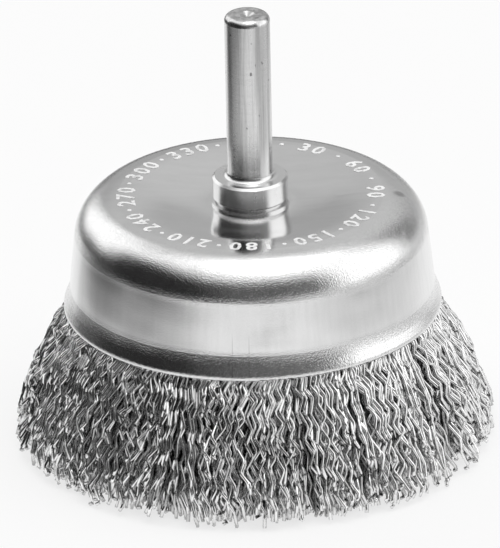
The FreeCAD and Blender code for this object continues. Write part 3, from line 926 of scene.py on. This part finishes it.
@dataclass
class StampedMarks:
    """A ring of plain numbers with dots between them on the cup's flat top, read from outside.

    Attributes:
        foot_radius: where the numbers' feet stand.
        height: how tall they are.
        relief: how far they stand proud.
        numbers: how many numbers go round.
        pitch_deg: the step from one digit to the next.
        dot_radius: a dot's radius.
        dot_sides: how many sides it has.
        bold: how far a digit's strokes are widened to each side.
        curve_steps: how finely its curves are cut.
        cap_share: a digit's height as a share of the type size.
    """

    foot_radius: float = 15.4 * MM
    height: float = 2.3 * MM
    relief: float = 0.03 * MM
    numbers: int = 12
    pitch_deg: float = 7.4
    dot_radius: float = 0.3 * MM
    dot_sides: int = 12
    bold: float = 0.07 * MM
    curve_steps: int = 2
    cap_share: float = 0.7

    def digit(self, mark: str) -> bmesh.types.BMesh:
        """One digit as a thin mesh, standing on the origin and centred across."""
        curve = bpy.data.curves.new("digit", "FONT")
        curve.body = mark
        curve.align_x = "CENTER"
        curve.size = self.height / self.cap_share
        curve.extrude = self.relief
        curve.offset = self.bold
        curve.resolution_u = self.curve_steps
        text = bpy.data.objects.new("digit", curve)
        mesh = bpy.data.meshes.new_from_object(text)
        bm = bmesh.new()
        bm.from_mesh(mesh)
        bpy.data.objects.remove(text)
        bpy.data.curves.remove(curve)
        bpy.data.meshes.remove(mesh)
        return bm

    def dot(self) -> bmesh.types.BMesh:
        """A round dot at half a digit's height."""
        bm = bmesh.new()
        bmesh.ops.create_cone(
            bm,
            cap_ends=True,
            segments=self.dot_sides,
            radius1=self.dot_radius,
            radius2=self.dot_radius,
            depth=2 * self.relief,
            matrix=Matrix.Translation((0, self.height / 2, 0)),
        )
        return bm

    def build(self) -> None:
        """Sets the digits and dots round the top, clockwise from the back."""
        flat_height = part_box("cup_shell")[1][2]
        top = Matrix.Translation((0, self.foot_radius, flat_height))
        ring = bmesh.new()
        scratch = bpy.data.meshes.new("scratch")
        slot = 360 / self.numbers
        for number in range(self.numbers):
            marks = str(round(number * slot))
            turns = [(place - (len(marks) - 1) / 2) * self.pitch_deg for place in range(len(marks))]
            shapes = [(self.digit(mark), turn) for mark, turn in zip(marks, turns)]
            shapes.append((self.dot(), slot / 2))
            for shape, turn in shapes:
                turned = Matrix.Rotation(math.radians(-(number * slot + turn)), 4, "Z")
                bmesh.ops.transform(shape, matrix=turned @ top, verts=shape.verts)
                shape.to_mesh(scratch)
                shape.free()
                ring.from_mesh(scratch)
        bpy.data.meshes.remove(scratch)
        add_piece("stamped_marks", ring, StampedWhite().material())


def add_object(name: str, data: bpy.types.ID) -> bpy.types.Object:
    """Puts a new object with that data into the scene."""
    made = bpy.data.objects.new(name, data)
    bpy.context.scene.collection.objects.link(made)
    return made


def add_mesh(name: str, bm: bmesh.types.BMesh, finish: bpy.types.Material) -> bpy.types.Object:
    """Turns a bmesh, which is freed, into an object of that finish."""
    mesh = bpy.data.meshes.new(name)
    bm.to_mesh(mesh)
    bm.free()
    mesh.materials.append(finish)
    return add_object(name, mesh)


def add_piece(name: str, bm: bmesh.types.BMesh, finish: bpy.types.Material) -> bpy.types.Object:
    """Turns a bmesh into a piece of the brush.

    Args:
        name: the piece's name.
        bm: its shape, which is freed.
        finish: its material.

    Returns:
        The object.
    """
    piece = add_mesh(name, bm, finish)
    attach(piece, "root")
    log.info("%s: %d faces", name, len(piece.data.polygons))
    return piece


@dataclass(frozen=True)
class WhitePaper:
    """The floor's white paper, which the camera and the metal see as white while it keeps the shadow.

    Away from the brush the metal mirrors it grey in places, as the photograph's cup does. A shade is
    the share that is taken from the white.

    Attributes:
        tone: its shade as a lit surface.
        white: the share of its own white where the camera or the metal sees it.
        left_shade, left_across, left_ahead: the field at the left, and where it ends.
        patch_shade, patch_spot, patch_reach: a darker round patch in it.
        right_shade, right_across: the field at the right.
        strip_shade, strip_across: a darker strip in that.
        border_shade, border_reach: the border round all, by the distance from the brush.
        far_shade, far_reach: what lies beyond, by the same.
        open_across: where border and beyond fade out to the right.
    """

    tone: float = 0.92
    white: float = 0.74
    left_shade: float = 0.78
    left_across: Ramp = (-130 * MM, -40 * MM)
    left_ahead: Ramp = (62 * MM, 84 * MM)
    patch_shade: float = 0.6
    patch_spot: Triple = (-115 * MM, 35 * MM, 0)
    patch_reach: Ramp = (18 * MM, 62 * MM)
    right_shade: float = 0.2
    right_across: Ramp = (60 * MM, 100 * MM)
    strip_shade: float = 0.42
    strip_across: Band = (131 * MM, 8 * MM, 12 * MM)
    border_shade: float = 0.8
    border_reach: Ramp = (152 * MM, 200 * MM)
    far_shade: float = 0.12
    far_reach: Ramp = (150 * MM, 300 * MM)
    open_across: Ramp = (60 * MM, 150 * MM)

    def material(self) -> bpy.types.Material:
        """Builds the finish."""
        graph = Graph("floor_paper")
        ray = graph.node("ShaderNodeLightPath").outputs
        seen = Signal(graph, ray["Is Camera Ray"])
        shade = self.mirrored(graph).at_least(seen)
        plain = graph.node("ShaderNodeBsdfDiffuse", {}, {"Color": graph.grey(self.tone * shade)})
        white = graph.node("ShaderNodeEmission", {}, {"Color": graph.grey(shade), "Strength": 1.0})
        for kind in ("Is Glossy Ray", "Is Transmission Ray"):
            seen = seen.at_least(Signal(graph, ray[kind]))
        mix = {0: seen * self.white, 1: plain.outputs[0], 2: white.outputs[0]}
        return graph.end(graph.node("ShaderNodeMixShader", {}, mix), "ShaderNodeOutputMaterial")

    def mirrored(self, graph: Graph) -> Signal:
        """The paper's brightness as the metal sees it."""
        across, ahead, _ = graph.axes(graph.place())
        away = off_axis(across, ahead)
        left = self.left_shade * across.under(*self.left_across) * ahead.under(*self.left_ahead)
        patch = self.patch_shade * graph.away_from(self.patch_spot).under(*self.patch_reach)
        right = self.right_shade * across.over(*self.right_across)
        right = right + self.strip_shade * across.within(*self.strip_across)
        far = self.border_shade * away.over(*self.border_reach) + self.far_shade * away.over(*self.far_reach)
        return (1 - left - right) * (1 - patch) * (1 - far * across.under(*self.open_across))


@dataclass(frozen=True)
class Room:
    """The room round the brush, as light by direction, which the camera sees white.

    It is dark behind the camera, with a soft box at each side, a grey wall at the back and a bright
    ceiling. Azimuths and heights are in degrees; azimuths go from behind the camera to the right.

    Attributes:
        front, front_right, front_turn: the dark side, and what it gains to the right.
        gap, gap_azimuth: the darkest part of it.
        wall, wall_turn: the wall at the back.
        wall_upper, wall_height: what its upper part gains.
        left_box, left_azimuth, left_top: the box at the left.
        left_foot, left_foot_azimuth: its lower edge, and past where it reaches the floor.
        right_box, right_azimuth, right_top: the box at the right.
        ceiling, ceiling_front, ceiling_back, ceiling_turn: the ceiling, the heights at which it
            starts in front and at the back, and where one gives way to the other.
        notch, notch_azimuth: how much higher it starts above the gap.
    """

    front: float = 0.12
    front_right: float = 0.05
    front_turn: Ramp = (0, 45)
    gap: float = 0.095
    gap_azimuth: Band = (-68, 26, 34)
    wall: float = 0.3
    wall_turn: Ramp = (125, 150)
    wall_upper: float = 0.16
    wall_height: Ramp = (19, 27)
    left_box: float = 1.3
    left_azimuth: Band = (-135, 19, 10)
    left_top: Ramp = (42, 60)
    left_foot: Ramp = (4, 18)
    left_foot_azimuth: Ramp = (-140, -132)
    right_box: float = 1.4
    right_azimuth: Band = (86, 24, 16)
    right_top: Ramp = (50, 66)
    ceiling: float = 1.25
    ceiling_front: Ramp = (30, 64)
    ceiling_back: Ramp = (50, 78)
    ceiling_turn: Ramp = (115, 150)
    notch: float = 7
    notch_azimuth: Band = (-68, 14, 20)

    def world(self) -> bpy.types.World:
        """Builds the world."""
        graph = Graph("room", bpy.data.worlds)
        across, ahead, up = graph.axes(graph.node("ShaderNodeTexCoord").outputs["Generated"])
        height = up.step(MathStep.ARCSINE) * TO_DEGREES
        turn = azimuth(across, ahead)
        low = self.walls(turn, height)
        light = low + (self.ceiling - low) * self.overhead(turn, height)
        seen = graph.out("ShaderNodeLightPath", output="Is Camera Ray")
        light = light + (1 - light) * seen
        background = graph.node("ShaderNodeBackground", {}, {"Color": graph.grey(light)})
        return graph.end(background, "ShaderNodeOutputWorld")

    def walls(self, turn: Signal, height: Signal) -> Signal:
        """The light from the dark front, the wall and the boxes."""
        front = self.front + self.front_right * turn.over(*self.front_turn)
        front = front - self.gap * turn.within(*self.gap_azimuth)
        wall = self.wall + self.wall_upper * height.over(*self.wall_height)
        wall = wall * abs(turn).over(*self.wall_turn)
        left = self.left_box * turn.within(*self.left_azimuth) * height.under(*self.left_top)
        left = left * height.over(*self.left_foot).at_least(turn.under(*self.left_foot_azimuth))
        right = self.right_box * turn.within(*self.right_azimuth) * height.under(*self.right_top)
        return (front + wall).at_least(left).at_least(right)

    def overhead(self, turn: Signal, height: Signal) -> Signal:
        """The share of the ceiling in a direction, from 0 to 1."""
        front = (height - self.notch * turn.within(*self.notch_azimuth)).over(*self.ceiling_front)
        back = height.over(*self.ceiling_back)
        return front + (back - front) * abs(turn).over(*self.ceiling_turn)


@dataclass
class Studio:
    """Camera, plain pale floor and soft light.

    Attributes:
        distance: how far the camera stands from its aim, in metres.
        elevation_deg, roll_deg: how steeply it looks down, and how far it is turned about its view.
        frame_width, frame_height: the picture's size, in pixels.
        pixels_per_mm: the brush's size in it.
        aim_height, aim_left: the point on the brush that it looks at.
        sensor, far_clip: the camera's sensor, in millimetres, and how far it sees, in metres.
        floor_size: the floor's side, in metres.
        softbox_place, softbox_aim: where the softbox hangs, and the point that it faces.
        softbox_size, softbox_watts: its side, in metres, and its power.
    """

    distance: float = 1.6
    elevation_deg: float = 24.66
    roll_deg: float = -1.2
    frame_width: int = 500
    frame_height: int = 548
    pixels_per_mm: float = 7.567
    aim_height: float = 22.45 * MM
    aim_left: float = 0.3 * MM
    sensor: float = 36.0
    far_clip: float = 20.0
    floor_size: float = 6.0
    softbox_place: Triple = (0.1, -0.05, 0.9)
    softbox_aim: Triple = (0, 0, 0.03)
    softbox_size: float = 0.5
    softbox_watts: float = 1.5

    def camera(self) -> None:
        """Sets the camera at the photograph's angle, far back, so that the shank shows no taper."""
        data = bpy.data.cameras.new("camera")
        data.sensor_width = self.sensor
        data.clip_end = self.far_clip
        focal_pixels = self.pixels_per_mm / MM * self.distance
        data.lens = focal_pixels * self.sensor / max(self.frame_width, self.frame_height)
        elevation = math.radians(self.elevation_deg)
        back = Vector((0, -math.cos(elevation), math.sin(elevation)))
        aim = Vector((-self.aim_left, 0, self.aim_height))
        turn = (-back).to_track_quat("-Z", "Y").to_matrix().to_4x4()
        roll = Matrix.Rotation(math.radians(self.roll_deg), 4, "Z")
        camera = add_object("camera", data)
        camera.matrix_world = Matrix.Translation(aim + back * self.distance) @ turn @ roll
        bpy.context.scene.camera = camera

    def floor(self) -> None:
        """Lays the floor that the brush stands on."""
        bm = bmesh.new()
        bmesh.ops.create_grid(bm, x_segments=1, y_segments=1, size=self.floor_size / 2)
        floor = add_mesh("floor", bm, WhitePaper().material())

    def softbox(self) -> None:
        """Hangs a square softbox over the brush."""
        data = bpy.data.lights.new("softbox_top", "AREA")
        data.shape = "SQUARE"
        data.size = self.softbox_size
        data.energy = self.softbox_watts
        place = Vector(self.softbox_place)
        turn = (place - Vector(self.softbox_aim)).to_track_quat("Z", "Y").to_matrix().to_4x4()
        add_object("softbox_top", data).matrix_world = Matrix.Translation(place) @ turn

    def build(self) -> None:
        """Builds the whole studio."""
        self.camera()
        self.floor()
        self.softbox()
        bpy.context.scene.world = Room().world()
        bpy.context.scene.view_settings.view_transform = "Standard"


def dress_nodes() -> None:
    """Gives every carried-over node its finish."""
    finishes = {"cup_shell": CupPlate().material(), "shank": ShankPlate().material()}
    inner = InnerPlate().material()
    for name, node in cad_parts.items():
        node.material_slots[0].material = finishes.get(name, inner)
        log.info("dressed %s", name)


def main() -> None:
    """Builds the studio and dresses the brush."""
    Studio().build()
    dress_nodes()
    WireSkirt().build()
    StampedMarks().build()


if __name__ == "__main__":
    logging.basicConfig(level=logging.INFO, format="%(name)s: %(message)s")
    main()
